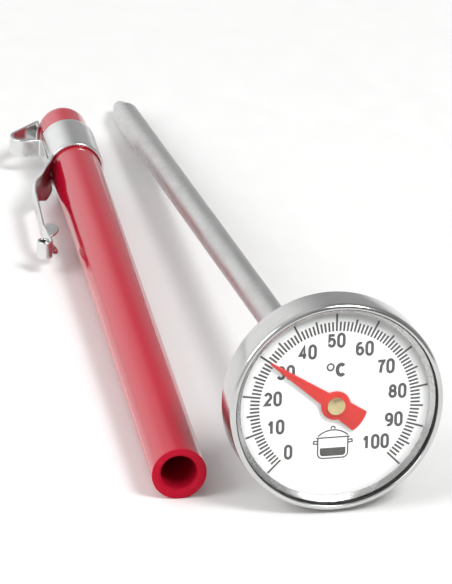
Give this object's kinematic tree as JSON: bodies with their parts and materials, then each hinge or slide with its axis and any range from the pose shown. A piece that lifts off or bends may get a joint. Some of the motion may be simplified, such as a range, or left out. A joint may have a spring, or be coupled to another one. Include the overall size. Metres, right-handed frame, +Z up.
{
  "type": "dial thermometer",
  "caption": "Pocket dial thermometer with a slim probe, a red slip-on sheath with a spring clip, and a Celsius scale from 0 to 100.",
  "frame": {"origin": "on the table, in the middle of the footprint of the thermometer and its sheath", "axes": "+Z up; +Y from the dial towards the tip of the stem; +X to the right as the dial is read"},
  "size_m": [0.0386, 0.1342, 0.0293],
  "materials": {
    "bezel_steel": "polished",
    "case_steel": "satin",
    "dial_white": "satin",
    "inner_ring": "satin",
    "window": "clear",
    "gasket": "matte",
    "pointer_red": "satin",
    "brass": "polished",
    "spindle_steel": "ground",
    "bimetal": "matte",
    "bush_nylon": "matte",
    "stem_steel": "satin",
    "neck_steel": "turned",
    "sheath_red": "gloss",
    "clip_steel": "nickel-plated"
  },
  "bodies": {
    "stem": {"stem_tube": "stem_steel", "stem_tip": "stem_steel", "hex_nut": "neck_steel", "neck_collar": "neck_steel", "neck_bush": "neck_steel", "upper_guide_bush": "bush_nylon", "lower_guide_bush": "bush_nylon", "coil_anchor": "spindle_steel"},
    "head": {"case_cup": "case_steel", "bezel": "bezel_steel", "lens": "window", "lens_gasket": "gasket", "spacer_ring": "inner_ring", "dial_plate": "dial_white", "spring_washer": "neck_steel"},
    "pointer": {"pointer": "pointer_red", "hub_cap": "brass", "pointer_collet": "brass", "spindle": "spindle_steel", "coil_hub": "brass", "bimetal_coil": "bimetal"},
    "sheath": {"sheath_tube": "sheath_red"},
    "clip": {"clip_band": "clip_steel"},
    "clip_arm": {"clip_arm": "clip_steel"}
  },
  "joints": [
    {"name": "calibration_turn", "type": "hinge", "parent": "stem", "child": "head", "pos_m": [0.00476, -0.06419, 0.01479], "axis": [0, 0.9949, -0.1008], "continuous": true},
    {"name": "pointer_turn", "type": "hinge", "parent": "stem", "child": "pointer", "pos_m": [0.00476, -0.06419, 0.01479], "axis": [0, 0.9949, -0.1008], "range_deg": [-81, 189], "stiffness_Nm_per_rad": 0.0002, "deforming": ["bimetal_coil"]},
    {"name": "sheath_slide", "type": "slide", "parent": "stem", "child": "sheath", "axis": [0.0692, 0.9976, 0.0049], "range_m": [0, 0.115]},
    {"name": "clip_turn", "type": "hinge", "parent": "sheath", "child": "clip", "pos_m": [-0.00771, 0.04316, 0.0042], "axis": [0.0692, 0.9976, 0.0049], "continuous": true},
    {"name": "clip_arm_spring", "type": "hinge", "parent": "clip", "child": "clip_arm", "pos_m": [-0.01196, 0.0389, 0.00418], "axis": [0.0003, 0.0049, -1], "range_deg": [-4, 12], "stiffness_Nm_per_rad": 0.35}
  ]
}
